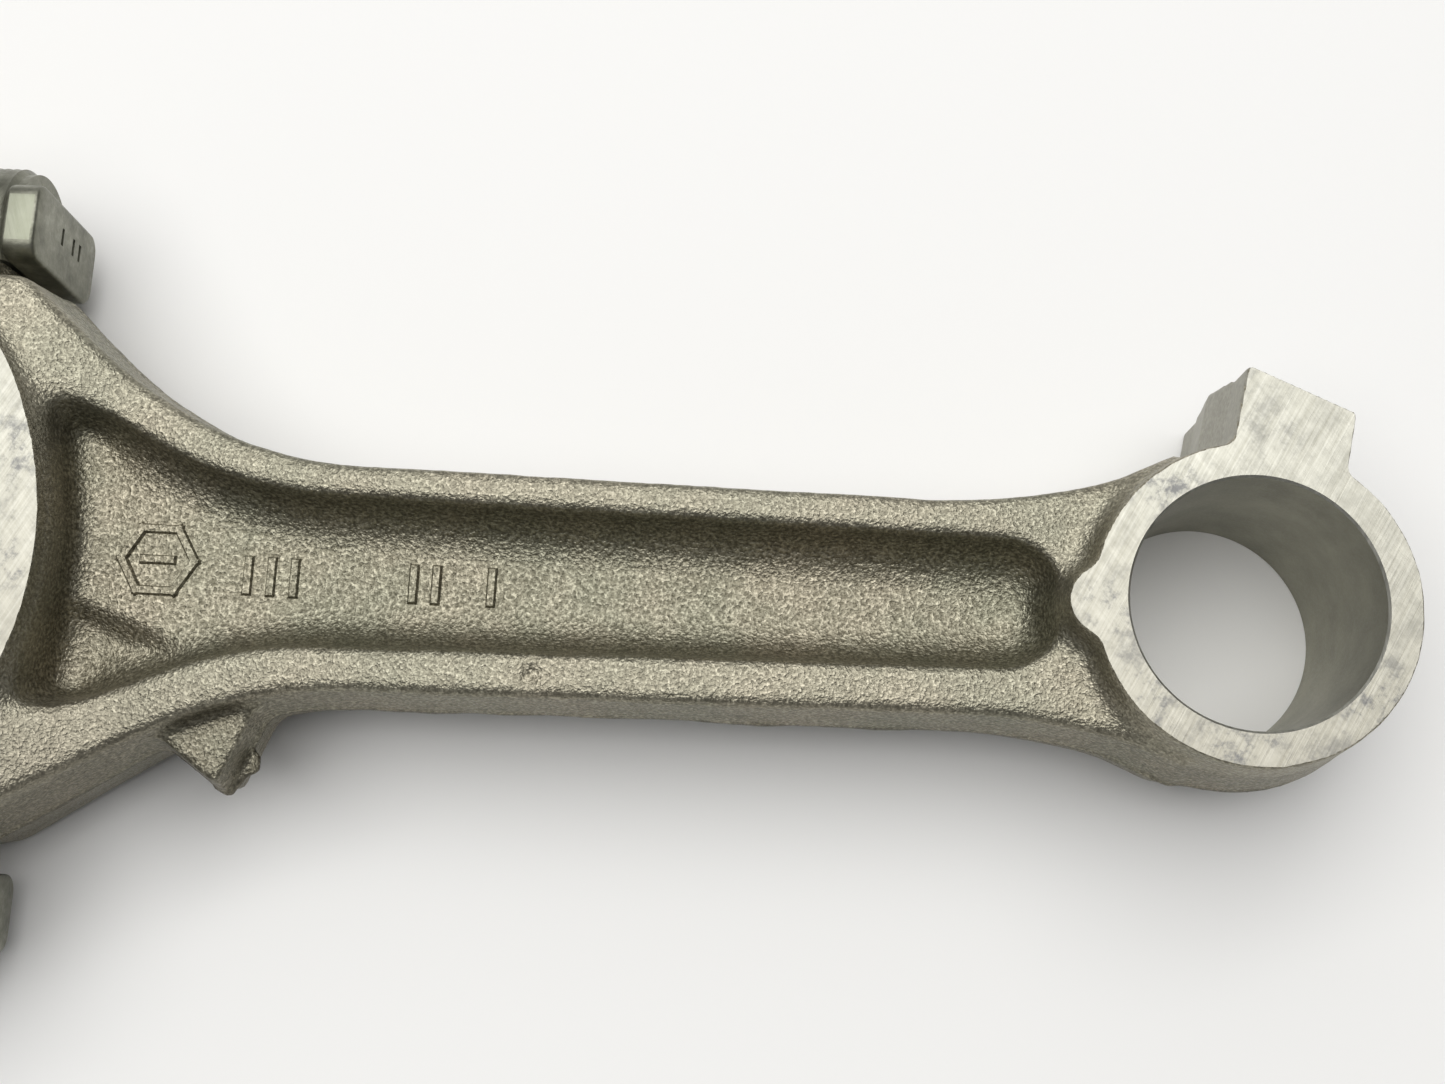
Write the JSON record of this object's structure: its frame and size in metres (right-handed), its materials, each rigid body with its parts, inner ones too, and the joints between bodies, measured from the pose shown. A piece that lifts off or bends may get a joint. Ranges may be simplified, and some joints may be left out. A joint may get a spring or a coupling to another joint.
{
  "type": "connecting rod",
  "caption": "Forged I-beam connecting rod with bolted cap, split bearing shells, a pressed-pin small end and a balance pad at each end.",
  "frame": {"origin": "centre of the big-end bore, in the middle of the rod's width", "axes": "+X along the rod from the big end to the small end, +Z along the crankpin axis, +Y toward the side of the small-end balance pad"},
  "size_m": [0.2044, 0.0858, 0.024],
  "materials": {
    "forged_steel": "matte",
    "bolt_steel": "satin",
    "bearing_metal": "satin"
  },
  "bodies": {
    "rod": {"rod_body": "forged_steel", "bearing_shell_rod": "bearing_metal", "rod_bolt_pad_side": "bolt_steel", "rod_bolt_lug_side": "bolt_steel"},
    "cap": {"rod_cap": "forged_steel", "bearing_shell_cap": "bearing_metal"},
    "nut_pad_side": {"rod_nut_pad_side": "bolt_steel"},
    "nut_lug_side": {"rod_nut_lug_side": "bolt_steel"}
  },
  "joints": [
    {"name": "cap_slide", "type": "slide", "parent": "rod", "child": "cap", "axis": [-1, 0, 0], "range_m": [0, 0.05]},
    {"name": "nut_pad_side_run", "type": "slide", "parent": "cap", "child": "nut_pad_side", "axis": [-1, 0, 0], "range_m": [0, 0.014]},
    {"name": "nut_lug_side_run", "type": "slide", "parent": "cap", "child": "nut_lug_side", "axis": [-1, 0, 0], "range_m": [0, 0.014]}
  ]
}
